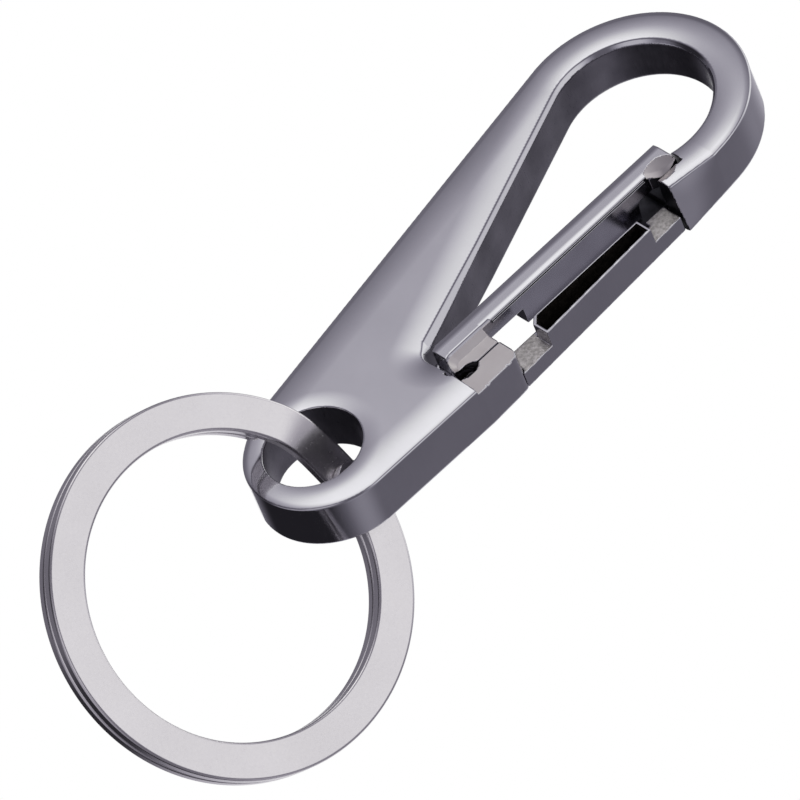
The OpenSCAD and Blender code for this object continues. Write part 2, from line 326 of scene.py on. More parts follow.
def polygon(x, y, points):
    n = len(points)
    best = None
    inside = None
    for i in range(n):
        a = points[i]
        b = points[(i + 1) % n]
        ex, ey = b[0] - a[0], b[1] - a[1]
        if ex == 0 and ey == 0:
            continue
        wx, wy = x - a[0], y - a[1]
        t = np.clip((wx * ex + wy * ey) / (ex * ex + ey * ey), 0, 1)
        d = (wx - ex * t) ** 2 + (wy - ey * t) ** 2
        best = d if best is None else np.minimum(best, d)
        above_a, above_b = y >= a[1], y >= b[1]
        left = ex * wy - ey * wx > 0
        flip = (above_a & ~above_b & ~left) | (~above_a & above_b & left)
        inside = flip if inside is None else inside ^ flip
    return np.where(inside, -1, 1) * np.sqrt(best)


def box(x, y, x0, y0, x1, y1):
    return np.maximum(np.maximum(x0 - x, x - x1), np.maximum(y0 - y, y - y1))


def join(a, b):
    return np.minimum(a, b)


def meet(a, b, r):
    """Intersection with an edge rounded to radius r."""
    out = np.hypot(np.maximum(a + r, 0), np.maximum(b + r, 0))
    return np.minimum(np.maximum(a, b), -r) + out


def bevel(a, b, r, size):
    """Intersection with a flat bevel of this size, whose two edges are rounded to radius r."""
    return meet(meet(a, b, r), (a + b + size) * math.sqrt(0.5), r)


def roll(distance, width, drop):
    """Height that a rounded rim of this width has lost at a distance from the edge."""
    t = np.clip(1 - distance / width, 0, ROLL_LIMIT)
    return drop * t * t


def in_sector(x, y, c, start, end):
    a = np.arctan2(y - c[1], x - c[0])
    return np.mod(a - start, 2 * math.pi) <= np.mod(end - start, 2 * math.pi)


def body_outline(x, y, d):
    """Minus the distance to the body's outer edge. The nose's side is drafted with the depth."""
    hook = np.where(in_sector(x, y, ZERO, NOSE_A, BACK_A), disc(x, y, ZERO, HOOK_R), FAR)
    end = np.where(in_sector(x, y, END, CORNER_AT, END_A), disc(x, y, END, END_R), FAR)
    in_corner = in_sector(x, y, CORNER, BACK_A, CORNER_AT)
    corner = np.where(in_corner, disc(x, y, CORNER, CORNER_R), FAR)
    back = half_plane(x, y, HOOK_R * direction(BACK_A), direction(BACK_A))
    low = half_plane(x, y, END + END_R * direction(END_A), direction(END_A))
    side = half_plane(x, y, HOOK_R * direction(SIDE_A), direction(SIDE_A))
    draft = NOSE_DRAFT * np.clip(-y / -NOSE_Y, 0, 1) * (d + HALF_T) / BODY_T
    nose = half_plane(x, y, HOOK_R * direction(NOSE_A), direction(NOSE_A)) + draft
    out = back
    for item in (hook, end, corner, low, np.where(y > MOUTH_Y, nose, side)):
        out = np.maximum(out, item)
    return out


def rim_outline(x, y):
    """Distance to the rounded part of the opening, positive in the metal."""
    rounds = join(disc(x, y, ZERO, SEAT_R), disc(x, y, FOOT, FOOT_R))
    wall = [FOOT, FOOT + FOOT_R * direction(WALL_A), SEAT_R * direction(WALL_A), ZERO]
    return join(rounds, polygon(x, y, wall))


def bay_outline(x, y, d):
    """Distance to the part of the opening that the gates fill, positive in the metal."""
    out = polygon(x, y, [
        (FOOT[0], FLOOR_Y), (LUG_X, FLOOR_Y), (LUG_X, LUG_TOP), (SIDE_X + RUN_OUT, LUG_TOP),
        (SIDE_X + RUN_OUT, NOSE_Y), (NOSE_X, NOSE_Y), (NOSE_X, NOTCH_Y), (SEAT_R / 2, NOTCH_Y),
        (0, 0), FOOT])
    bulge = np.sqrt(np.clip(1 - ((y - LENS_Y) / SWELL_HALF_H) ** 2, 0, 1))
    swell = NOSE_SWELL * bulge * np.clip(d * SWELL_RISE, 0, 1)
    near_nose = (y > NOSE_Y) & (y < NOTCH_Y) & (x > TIP_X - LAP)
    out = np.where(near_nose, np.maximum(out, x - NOSE_X + swell), out)
    scoop = disc(x, y, (SPRING_FACE_X + 2 * SCALLOP_W - SCALLOP_R, SPRING_Y), SCALLOP_R)
    return join(out, np.maximum(scoop, LUG_X - LAP - x))


def lug_corner(x, y):
    """Distance beyond the lug's rounded top corner."""
    n = direction(SIDE_A)
    cy = LUG_TOP - LUG_CORNER
    c = np.array(((HOOK_R - LUG_CORNER - cy * n[1]) / n[0], cy))
    quarter = (half_plane(x, y, c, n) > 0) & (y > cy) & (y < MOUTH_Y)
    return np.where(quarter, disc(x, y, c, LUG_CORNER), FAR)


def nose_lens(x, y):
    """Depth of the lens milled into the nose, which slopes down to its own middle line."""
    t = np.clip(1 - ((y - LENS_Y) / LENS_HALF_H) ** 2, 0, 1)
    return LENS_SLOPE * np.maximum(LENS_HALF_W * np.sqrt(t) - np.abs(x - LENS_X), 0)


def tip_lens(x, y):
    """Depth of the lens milled into the gate's tip: a slope to its chord, then a steeper one."""
    a, b = TIP_CHORD
    ex, ey = b[0] - a[0], b[1] - a[1]
    span = math.hypot(ex, ey)
    along = ((x - a[0]) * ex + (y - a[1]) * ey) / span ** 2
    away = ((y - a[1]) * ex - (x - a[0]) * ey) / span
    width = TIP_LENS_W * np.clip(1 - (2 * along - 1) ** 2, 0, 1)
    slope = LENS_SLOPE * np.clip(width - away, 0, width)
    return slope + TIP_OUTER_SLOPE * np.clip(-away, 0, 1) * (width > 0)


def facet(x, y):
    """Distance to the outline of the flat that is milled across the lug and the heel."""
    cy = np.clip(y, PIVOT[1] - FACET_DROP, NOSE_Y + FACET_R)
    return np.hypot(x - NOSE_X, y - cy) - FACET_R


def tongue_outline(x, y):
    left, right = PIVOT[0] - TONGUE_R, LUG_X + LAP
    low, top = FLOOR_Y - LAP, PIVOT[1] + TONGUE_R
    web = [(left, low), (right, low), (right, top), (PIVOT[0], top), PIVOT, (left, PIVOT[1])]
    return join(disc(x, y, PIVOT, TONGUE_R), polygon(x, y, web))


def body(x, y, d):
    outer = body_outline(x, y, d)
    rim = rim_outline(x, y)
    eye = disc(x, y, EYE, EYE_R)
    drop = roll(-outer, *OUTER_ROLL_NARROW) + roll(-outer, *OUTER_ROLL_WIDE)
    drop = drop + roll(rim, *RIM_ROLL) + roll(eye, *EYE_ROLL)
    drop = drop + nose_lens(x, y)
    solid = meet(np.abs(d) - (HALF_T - drop), outer, BODY_EDGE)

    above_floor = np.clip((y - FLOOR_Y) / BEVEL_FADE, 0, 1)
    near_foot = np.clip(1 - (y - FLOOR_Y) / BEVEL_REACH, 0, 1)
    bevel_w = BEVEL_LEAST + (BEVEL_ARM + BEVEL_FOOT * near_foot) * above_floor
    solid = bevel(solid, -rim, BEVEL_EDGE, bevel_w)
    solid = meet(solid, -bay_outline(x, y, d), CRISP_EDGE)

    end_y = NOSE_Y + NOSE_LIFT * (d + HALF_T) / BODY_T
    at_end = (y > MOUTH_Y) & (y < NOTCH_Y) & (x > NOSE_X - LAP)
    solid = np.where(at_end, meet(solid, end_y - y, NOSE_EDGE), solid)
    solid = meet(solid, -eye, EYE_EDGE)
    solid = meet(solid, lug_corner(x, y), BODY_EDGE)

    tongue = np.maximum(d - TONGUE_FRONT, TONGUE_BACK - d)
    solid = join(solid, meet(tongue, tongue_outline(x, y), CRISP_EDGE))
    step = np.maximum(HALF_T - FACET_D - d, FLOOR_Y + STEP_LIFT - y)
    step = np.maximum(np.maximum(step, LUG_X - LAP - x), y - MOUTH_Y)
    solid = meet(solid, -step, CRISP_EDGE)
    seat = box(x, y, LUG_X - LAP, NECK_FOOT, LUG_X + NECK_W, LUG_TOP + LAP)
    solid = meet(solid, -np.maximum(seat, d - TONGUE_BACK), CRISP_EDGE)

    bore_ends = np.maximum(SPRING_FACE_X - WIRE - x, x - SPRING_SEAT_X)
    bore = np.maximum(np.hypot(y - SPRING_Y, d) - SPRING_R - SPRING_PLAY, bore_ends)
    return np.maximum(solid, -bore)


def heel(x, y):
    """The knuckle that both gates have, with its beak and the hollow that the spring pushes."""
    right = LUG_X - PLAY
    out = polygon(x, y, [
        (FRONT_X, HEEL_FOOT + HEEL_CORNER[1]), (FRONT_X + HEEL_CORNER[0], HEEL_FOOT),
        (PIVOT[0], HEEL_FOOT), (right - BEAK_W, BEAK_Y), (right - BEAK_CORNER, BEAK_Y),
        (right, BEAK_Y + BEAK_CORNER), (right, HEEL_TOP), (FRONT_X, HEEL_TOP)])
    return np.maximum(out, -disc(x, y, (SPRING_FACE_X + SCALLOP_R, SPRING_Y), SCALLOP_R))


def front_gate(x, y, d):
    bar = box(x, y, FRONT_X, HEEL_FOOT + HEEL_CORNER[1], FRONT_RIGHT, TIP_TOP)
    tip = polygon(x, y, [(FRONT_X, TIP_FOOT), *TIP_CURVE, (FRONT_X, TIP_TOP)])
    plan = join(join(bar, heel(x, y)), tip)
    in_bar = (y > HEEL_TOP) & (y < TIP_FOOT)
    right_roll = np.where(in_bar, roll(FRONT_RIGHT - x, *BAR_ROLL_RIGHT), 0)
    drop = roll(x - FRONT_X, *BAR_ROLL_LEFT) + right_roll
    drop = drop + tip_lens(x, y)
    top = d - HALF_T + drop
    solid = meet(np.maximum(top, level(THIN) - d), plan, FRONT_EDGE)

    step = STEP_H / (1 + np.exp((d - STEP_D) * STEP_SHARPNESS))
    head = TIP_FOOT - STEP_PLAY - step - STEP_LEAN * (STEP_D - d)
    middle = np.maximum(box(x, y, FRONT_X, DEEP_FOOT, FRONT_RIGHT, TIP_FOOT), y - head)
    solid = join(solid, meet(np.maximum(top, level(THICK) - d), middle, FRONT_EDGE))

    groove = np.maximum(np.abs(d - GROOVE_D) - GROOVE_HALF, FRONT_RIGHT - GROOVE_DEPTH - x)
    groove_ends = np.maximum(HEEL_TOP + GROOVE_START - y, y - TIP_FOOT + GROOVE_END)
    solid = np.maximum(solid, -np.maximum(groove, groove_ends))

    climb = FLAT_CLIMB * np.maximum(facet(x, y) + FLAT_MARGIN, 0)
    flat = np.maximum((HALF_T - FACET_D - d) + climb, y - HEEL_TOP - LAP)
    solid = meet(solid, -flat, CRISP_EDGE)
    bore = np.maximum(disc(x, y, PIVOT, PIN_R + PIN_PLAY), d - PIN_TIP - PLAY)
    return np.maximum(solid, -bore)


def rear_span(x, y, foot_in, foot_out, head, inset_in, inset_out, corner):
    """A stretch of the rear bar: its foot on the inner and outer side, its head and insets."""
    left = REAR_X + inset_in
    return polygon(x, y, [
        (left, foot_in + corner), (left + corner, foot_in),
        (side_at(foot_out) - inset_out, foot_out), (side_at(head) - inset_out, head),
        (left, head)])


def pocket_span(x, y, spare=0.0):
    """The long pocket's outline, or one wider by spare."""
    wall = POCKET_WALL - spare
    return rear_span(x, y, RAISED_FOOT + wall, RAISED_FOOT + wall, RAISED_HEAD - wall,
                     POCKET_SIDE - spare, FLUSH + wall, RAISED_CORNER)


def rear_plan(x, y):
    strip = rear_span(x, y, STRIP_IN, STRIP_OUT - STRIP_WRAP, STRIP_END, 0, FLUSH, 0)
    lug = meet(y - LUG_TOP, x - side_at(y), LUG_CORNER)
    strip = np.maximum(strip, LUG_GAP - lug)
    neck_x, neck_y = LUG_X + NECK_W - PLAY, NECK_FOOT + PLAY
    neck = polygon(x, y, [
        (PIVOT[0], neck_y), (neck_x, neck_y), (neck_x, STRIP_IN), (REAR_X, STRIP_IN),
        (PIVOT[0], HEEL_TOP)])
    tip_foot = MIDDLE_HEAD - REAR_TIP_LAP
    tip_right = REAR_X + REAR_TIP_W
    tip = polygon(x, y, [
        (REAR_TIP_X, tip_foot), (tip_right, tip_foot), (tip_right, STRIP_END),
        (TIP_X, STRIP_END), (TIP_X, TIP_TOP), (FRONT_X, TIP_TOP),
        (FRONT_X, TIP_FOOT + REAR_TIP_LAP), (REAR_TIP_X, TIP_FOOT + REAR_TIP_LAP)])
    return join(join(strip, heel(x, y)), join(neck, tip))


def rear_gate(x, y, d):
    from_side = side_at(0) - (x + (y * math.sin(SIDE_A) / math.cos(SIDE_A))) - FLUSH
    rolled = (y > STRIP_OUT - REAR_ROLL_PAST) & (y < STRIP_HEAD + REAR_ROLL_PAST)
    foot = -HALF_T + np.where(rolled, roll(from_side, *REAR_ROLL), 0) - d
    solid = meet(np.maximum(d - level(1 - REAR), foot), rear_plan(x, y), REAR_EDGE)
    # The shelf: a sheet behind the front gate's tip that fills the dark hollow with metal painted
    # near black, as painted shade
    shelf = box(x, y, FRONT_X, SHELF_FOOT, REAR_X, SHELF_HEAD)
    solid = join(solid, np.maximum(np.maximum(shelf, d - SHELF_D), -HALF_T - d))
    raised = rear_span(x, y, RAISED_FOOT, RAISED_FOOT, RAISED_HEAD, 0, FLUSH, RAISED_CORNER)
    solid = join(solid, meet(np.maximum(d - level(1 - THICK), foot), raised, REAR_EDGE))
    pocket = np.maximum(pocket_span(x, y), level(POCKET) - d)
    solid = meet(solid, -pocket, POCKET_EDGE)
    return np.maximum(solid, -disc(x, y, PIVOT, PIN_R + PIN_PLAY))


# Meshes

GRID_CORNERS = [(a, b, c) for a in (0, 1) for b in (0, 1) for c in (0, 1)]


def show(name, mesh):
    thing = bpy.data.objects.new(name, mesh)
    bpy.context.scene.collection.objects.link(thing)
    return thing


def smooth_piece(name, spots, faces, normals):
    """A smooth piece from points in millimetres, with these exact normals."""
    mesh = bpy.data.meshes.new(name)
    mesh.from_pydata((spots * MM).tolist(), [], faces)
    mesh.polygons.foreach_set("use_smooth", np.ones(len(mesh.polygons), dtype=bool))
    mesh.normals_split_custom_set_from_vertices(normals.tolist())
    return show(name, mesh)


def slope(shape, p):
    """Gradient of a distance function at points p."""
    tiny = 1e-3
    out = np.empty_like(p)
    for i in range(3):
        shift = np.zeros(3)
        shift[i] = tiny
        out[:, i] = (shape(*(p + shift).T) - shape(*(p - shift).T)) / (2 * tiny)
    return out


def crossing_means(values, cell):
    """Mean of the points where the surface crosses each cell's edges, in steps of the grid."""
    held = {k: values[cell[0] + k[0], cell[1] + k[1], cell[2] + k[2]] for k in GRID_CORNERS}
    total = np.zeros((3, cell.shape[1]))
    crossings = np.zeros(cell.shape[1])
    for k in GRID_CORNERS:
        for axis in range(3):
            if k[axis] == 0:
                far = tuple(v + (i == axis) for i, v in enumerate(k))
                a, b = held[k], held[far]
                cross = (a < 0) != (b < 0)
                share = np.where(cross, a / np.where(cross, a - b, 1), 0)
                for i in range(3):
                    total[i] += np.where(cross, k[i] + (share if i == axis else 0), 0)
                crossings += cross
    return cell + total / crossings


def surface_quads(inside, index):
    """One quad round each grid edge that leaves the metal, from the points of its four cells."""
    quads = []
    for axis in range(3):
        u, v = (axis + 1) % 3, (axis + 2) % 3
        first = [slice(None)] * 3
        second = [slice(None)] * 3
        first[axis] = slice(0, -1)
        second[axis] = slice(1, None)
        a, b = inside[tuple(first)], inside[tuple(second)]
        edge = np.array(np.nonzero(a != b))
        keep = (edge[u] > 0) & (edge[u] < inside.shape[u] - 1)
        keep &= (edge[v] > 0) & (edge[v] < inside.shape[v] - 1)
        edge = edge[:, keep]
        out = a[tuple(edge)]
        ring = []
        for du, dv in ((1, 1), (0, 1), (0, 0), (1, 0)):
            spot = edge.copy()
            spot[u] -= du
            spot[v] -= dv
            ring.append(index[tuple(spot)])
        ring = np.array(ring).T
        ring[~out] = ring[~out][:, ::-1]
        quads.append(ring)
    return np.concatenate(quads)


def stand_up(p):
    """From plan and depth to the frame's axes."""
    return np.stack((p[:, 0], -p[:, 2], p[:, 1]), axis=1)


def grow_mesh(name, shape, low, high, step):
    """Meshes the zero surface of a distance function, and gives it its exact normals.

    Returns the piece, and each face's middle and direction in plan and depth.
    """
    rounds, least_slope = 3, 0.3
    axes = [np.arange(low[i], high[i] + step, step) for i in range(3)]
    values = shape(axes[0][:, None, None], axes[1][None, :, None], axes[2][None, None, :])
    values = values.astype(np.float32)
    inside = values < 0
    nx, ny, nz = (n - 1 for n in inside.shape)
    count = sum(inside[a:a + nx, b:b + ny, c:c + nz].astype(np.int8) for a, b, c in GRID_CORNERS)
    cell = np.array(np.nonzero((count > 0) & (count < len(GRID_CORNERS))))
    index = np.full(count.shape, -1, dtype=np.int32)
    index[tuple(cell)] = np.arange(cell.shape[1])
    spots = crossing_means(values, cell).T * step + np.array(low)
    for _ in range(rounds):
        g = slope(shape, spots)
        move = shape(*spots.T) / np.maximum((g * g).sum(1), least_slope)
        spots -= np.clip(move, -step / 2, step / 2)[:, None] * g
    normals = slope(shape, spots)
    normals /= np.maximum(np.linalg.norm(normals, axis=1), 1e-9)[:, None]
    quads = surface_quads(inside, index)
    piece = smooth_piece(name, stand_up(spots), quads.tolist(), stand_up(normals))
    return piece, spots[quads].mean(axis=1), normals[quads].mean(axis=1)


RING_TAPER = 1.5
RING_STOPS = 470
RING_THIN_END = 0.05
RING_EDGE_SHARE = 0.6
RING_JOG_START = 360 - JOG / 2


def strip_section(width_share):
    """Corners of the strip's rounded section, as radius and level, with their normals."""
    half_w = RING_W / 2 * width_share
    edge = min(RING_EDGE, half_w * RING_EDGE_SHARE)
    half_t = COIL_T / 2
    points, ways = [], []
    for cx, cy, start in ((1, 1, 0), (-1, 1, 90), (-1, -1, 180), (1, -1, 270)):
        for turn in range(0, 91, 18):
            a = math.radians(start + turn)
            points.append((cx * (half_w - edge) + edge * math.cos(a),
                           cy * (half_t - edge) + edge * math.sin(a)))
            ways.append((math.cos(a), math.sin(a)))
    return np.array(points), np.array(ways)


def wind_ring():
    """The split ring: one strip in two coils with a jog between them, and rounded ends."""
    first, last = JOG / 2, 720 - JOG / 2
    end_span = math.degrees(RING_TAPER / (RING_R - RING_W / 2))
    near_ends = [end_span * (1 - math.cos(math.radians(a))) for a in range(0, 91, 10)]
    angles = sorted(set([first + a for a in near_ends] + [last - a for a in near_ends]
                        + list(np.linspace(first + end_span, last - end_span, RING_STOPS))))
    rings, ways = [], []
    for a in angles:
        left = min(a - first, last - a, end_span) / end_span
        share = max(math.sqrt(1 - (1 - left) ** 2), RING_THIN_END)
        climb = min(max((a - RING_JOG_START) / JOG, 0), 1)
        lift = (1 - math.cos(math.pi * climb)) / 2 * (COIL_T + COIL_GAP)
        points, out = strip_section(share)
        t = math.radians(a + JOG_AT)
        radius = RING_R - RING_W / 2 + points[:, 0]
        height = points[:, 1] + COIL_T / 2 + lift - COIL_T - COIL_GAP / 2
        rings.append(np.stack((radius * math.cos(t), radius * math.sin(t), height), axis=1))
        ways.append(np.stack((out[:, 0] * math.cos(t), out[:, 0] * math.sin(t), out[:, 1]),
                             axis=1))
    rings, ways = np.array(rings), np.array(ways)
    along = np.gradient(rings, axis=0)
    along /= np.linalg.norm(along, axis=2)[:, :, None]
    ways = ways - (ways * along).sum(2)[:, :, None] * along
    ways /= np.linalg.norm(ways, axis=2)[:, :, None]
    steps, sides = rings.shape[:2]
    faces = []
    for i in range(steps - 1):
        for k in range(sides):
            n = (k + 1) % sides
            faces.append((i * sides + k, (i + 1) * sides + k, (i + 1) * sides + n, i * sides + n))
    faces.append(tuple(range(sides)))
    faces.append(tuple((steps - 1) * sides + k for k in range(sides))[::-1])
    place = (Matrix.Translation((EYE[0], 0, EYE[1])) @ Matrix.Rotation(RING_YAW, 4, "Z")
             @ Matrix.Rotation(RING_TIP, 4, "X") @ Matrix.Translation((RING_SLIP, 0, -RING_DROP))
             @ Matrix.Rotation(math.pi / 2, 4, "X"))
    place = np.array(place)
    spots = rings.reshape(-1, 3) @ place[:3, :3].T + place[:3, 3]
    facing = ways.reshape(-1, 3) @ place[:3, :3].T
    piece = smooth_piece("ring_strip", spots, faces, facing)
    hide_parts("split_ring")
    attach(piece, "ring")
    return piece


ring_piece = wind_ring()
hook_piece, hook_mid, hook_way = grow_mesh(
    "hook", body, low=(-11.2, -50.4, -2.84), high=(13.0, 11.2, 2.84), step=0.14)
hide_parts("hook_body")
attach(hook_piece, "clip")
front_piece, front_mid, front_way = grow_mesh(
    "front_lever_bars", front_gate, low=(5.0, -31.0, -1.6), high=(9.9, -1.9, 2.8), step=0.1)
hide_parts("front_gate")
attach(front_piece, "front_lever")
rear_piece, rear_mid, rear_way = grow_mesh(
    "rear_lever_bars", rear_gate, low=(5.0, -31.0, -2.8), high=(12.9, -1.9, 1.4), step=0.1)
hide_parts("rear_gate")
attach(rear_piece, "rear_lever")

# Materials

NOISE_SPAN = (0.3, 0.7)


def new_tree(name):
    material = bpy.data.materials.new(name)
    material.use_nodes = True
    material.node_tree.nodes.clear()
    return material, material.node_tree


def add(tree, kind, **values):
    """A new shader node, with its settings and its inputs by name."""
    node = tree.nodes.new("ShaderNode" + kind)
    for key, value in values.items():
        if hasattr(node, key):
            setattr(node, key, value)
        else:
            node.inputs[key.replace("_", " ")].default_value = value
    return node


def link(tree, source, socket, node, target):
    tree.links.new(source.outputs[socket], node.inputs[target])


def noise(tree, scale, detail, rough, stretch=(1, 1, 1), turn=(0, 0, 0)):
    coords = add(tree, "TexCoord")
    mapping = add(tree, "Mapping", Scale=stretch, Rotation=turn)
    node = add(tree, "TexNoise", Scale=scale, Detail=detail, Roughness=rough)
    link(tree, coords, "Object", mapping, "Vector")
    link(tree, mapping, "Vector", node, "Vector")
    return node


def ramp(tree, source, low, high):
    node = add(tree, "MapRange", From_Min=NOISE_SPAN[0], From_Max=NOISE_SPAN[1],
               To_Min=low, To_Max=high)
    link(tree, source, "Fac", node, "Value")
    return node


def bump(tree, source, distance):
    node = add(tree, "Bump", Strength=1.0, Distance=distance)
    link(tree, source, "Fac", node, "Height")
    return node


def metal(name, tones, rough, blotch, grain, scratch, wave, grain_turn=0):
    """A metal whose colour drifts between two tones, with fine grain and a slight waviness.

    rough is the span of its roughness, blotch the scale of the drift, grain that of the
    scratches along each axis, scratch and wave the depths of their bumps in metres, and
    grain_turn the scratches' turn about Y in degrees.
    """
    material, tree = new_tree(name)
    out = add(tree, "OutputMaterial")
    bsdf = add(tree, "BsdfPrincipled", Metallic=1.0)
    wide = noise(tree, blotch, detail=3.0, rough=0.5)
    fine = noise(tree, 1.0, detail=4.0, rough=0.6, stretch=grain,
                 turn=(0, math.radians(grain_turn), 0))
    tone = ramp(tree, wide, 0.0, 1.0)
    base = add(tree, "Mix", data_type="RGBA", A=(*tones[0], 1), B=(*tones[1], 1))
    link(tree, tone, "Result", base, "Factor")
    link(tree, base, "Result", bsdf, "Base Color")
    link(tree, ramp(tree, fine, *rough), "Result", bsdf, "Roughness")
    hill = bump(tree, wide, wave)
    mark = bump(tree, fine, scratch)
    link(tree, hill, "Normal", mark, "Normal")
    link(tree, mark, "Normal", bsdf, "Normal")
    link(tree, bsdf, "BSDF", out, "Surface")
    return material


polished = metal("polished_cast", ((0.60, 0.595, 0.625), (0.64, 0.635, 0.665)),
                 rough=(0.07, 0.13), blotch=160, grain=(700, 700, 9000),
                 scratch=2e-7, wave=1.5e-6)
# Satin cast metal for the walls of the eye and the opening; its dark tone is partly painted shade
# in the holes
inner_satin_and_shade = metal("inner_satin_and_shade", ((0.16, 0.156, 0.175), (0.27, 0.262, 0.29)),
                    rough=(0.26, 0.4), blotch=260, grain=(14000, 900, 14000),
                    scratch=2.4e-6, wave=3e-6)
brushed = metal("milled_flat", ((0.66, 0.62, 0.615), (0.72, 0.69, 0.68)),
                rough=(0.34, 0.46), blotch=400, grain=(16000, 900, 1500), grain_turn=20,
                scratch=1.5e-6, wave=1e-6)
# Painted shade: a darker, lilac copy of the polished metal, for the gates' walls that face the
# narrow gap between the bars
wall_painted_shade = metal("gate_wall_painted_shade", ((0.34, 0.33, 0.375), (0.40, 0.39, 0.44)),
                  rough=(0.16, 0.24), blotch=200, grain=(900, 14000, 900),
                  scratch=1e-7, wave=6e-7)
# Rough cast floor of the rear gate's long pocket; its near-black tone is partly painted shade in
# the pocket
pocket_cast_and_shade = metal("pocket_cast_and_shade", ((0.05, 0.046, 0.042), (0.14, 0.125, 0.11)),
                    rough=(0.45, 0.6), blotch=1700, grain=(6000, 6000, 6000),
                    scratch=8e-6, wave=3e-5)
# Painted shade: near-black metal for faces in narrow gaps and hollows, where the shade falls
shade_black = metal("gate_painted_shade", ((0.035, 0.035, 0.04), (0.06, 0.06, 0.068)),
               rough=(0.35, 0.5), blotch=900, grain=(6000, 6000, 6000),
               scratch=1e-6, wave=4e-6)
raw_cast = metal("raw_cast", ((0.45, 0.43, 0.41), (0.8, 0.77, 0.75)),
                 rough=(0.4, 0.55), blotch=3200, grain=(9000, 9000, 9000),
                 scratch=8e-6, wave=3e-5)
ring_metal = metal("satin_ring", ((0.76, 0.74, 0.75), (0.81, 0.79, 0.80)),
                   rough=(0.2, 0.28), blotch=120, grain=(4000, 4000, 4000),
                   scratch=4e-7, wave=1e-6)
pin_metal = metal("turned_pin", ((0.42, 0.41, 0.43), (0.5, 0.49, 0.51)),
                  rough=(0.25, 0.35), blotch=300, grain=(5000, 5000, 5000),
                  scratch=1e-6, wave=2e-6)
spring_metal = metal("spring_wire", ((0.05, 0.05, 0.052), (0.09, 0.088, 0.09)),
                     rough=(0.4, 0.5), blotch=600, grain=(3000, 3000, 3000),
                     scratch=1e-6, wave=2e-6)

# Which face gets which metal or painted shade, by its place and by how much of its normal points
# one way

TURNED = 0.5
LEANING = 0.6
STEEP = 0.7
SQUARE = 0.8

# How far a face may lie from the place that gives it its metal, in millimetres
HOLE_SKIN = 0.06
FACET_SKIN = 0.04
LENS_SKIN = 0.01
MILLED_SKIN = 0.02
GROOVE_SKIN = 0.03
LEDGE_SKIN = 0.05
POCKET_SKIN = 0.08
WALL_SKIN = 0.1
TIP_SKIN = 0.2
BACK_SKIN = 0.3
SHADE_X = REAR_X - 0.6
LEDGE_FOOT = HEEL_TOP - 0.3


def paint(piece, materials, masks):
    """The first material everywhere, except where a mask gives its own number, first mask first."""
    for material in materials:
        piece.data.materials.append(material)
    choice = np.select([mask for mask, _ in masks], [number for _, number in masks], 0)
    piece.data.polygons.foreach_set("material_index", choice.astype(np.int32))


def is_facet(mid, way):
    return (np.abs(mid[:, 2] - (HALF_T - FACET_D)) < FACET_SKIN) & (way[:, 2] > SQUARE)


def paint_body():
    x, y, _ = hook_mid.T
    across, along, ahead = hook_way.T
    opening = np.minimum(rim_outline(x, y), bay_outline(x, y, -HALF_T))
    holes = np.minimum(opening, disc(x, y, EYE, EYE_R))
    # The walls of the eye and the opening get the satin metal, whose dark tone is partly painted
    # shade in the holes
    wall = (holes < HOLE_SKIN) & (np.abs(ahead) < TURNED)
    # The nose's end and inner side get near-black metal: painted shade in the gaps between the nose
    # and the gates
    under = (y > MOUTH_Y) & (y < NOSE_Y + NOSE_LIFT + NOSE_EDGE) & (x > NOSE_X - LAP)
    beside = (np.abs(x - NOSE_X) < NOSE_SWELL) & (y > NOSE_Y) & (y < NOTCH_Y)
    nose_end = under & (along < -STEEP) | beside & (across < -LEANING)
    flat = is_facet(hook_mid, hook_way) & (y > FLOOR_Y)
    flat |= (nose_lens(x, y) > 0) & (ahead > TURNED)
    paint(hook_piece, [polished, inner_satin_and_shade, brushed, shade_black],
          [(nose_end, 3), (flat, 2), (wall, 1)])


def paint_front():
    x, y, d = front_mid.T
    across, along, ahead = front_way.T
    above_heel = y > HEEL_TOP + LAP
    milled = (tip_lens(x, y) > LENS_SKIN) | (facet(x, y) < -MILLED_SKIN) & ~above_heel
    flat = is_facet(front_mid, front_way) | milled & (ahead > TURNED)
    # The bar's wall that faces the rear bar gets the painted shade of the gap between the bars
    wall = (across > STEEP) & (x > FRONT_X + LAP)
    # The tip's end faces, the notch and the groove get near-black metal: painted shade in the gaps
    # and in the groove
    end = (y > SHELF_FOOT) & (y < TIP_FOOT + TIP_SKIN)
    notch = (x > FRONT_RIGHT + WALL_SKIN) & (y > TIP_FOOT - WALL_SKIN)
    groove = (np.abs(d - GROOVE_D) < GROOVE_HALF + GROOVE_SKIN) & above_heel & (y < TIP_FOOT)
    groove &= x > FRONT_RIGHT - GROOVE_DEPTH - MILLED_SKIN
    in_painted_shade = end & (np.abs(along) > TURNED) | (notch | groove) & (ahead < TURNED)
    paint(front_piece, [polished, brushed, wall_painted_shade, shade_black],
          [(in_painted_shade, 3), (flat, 1), (wall, 2)])


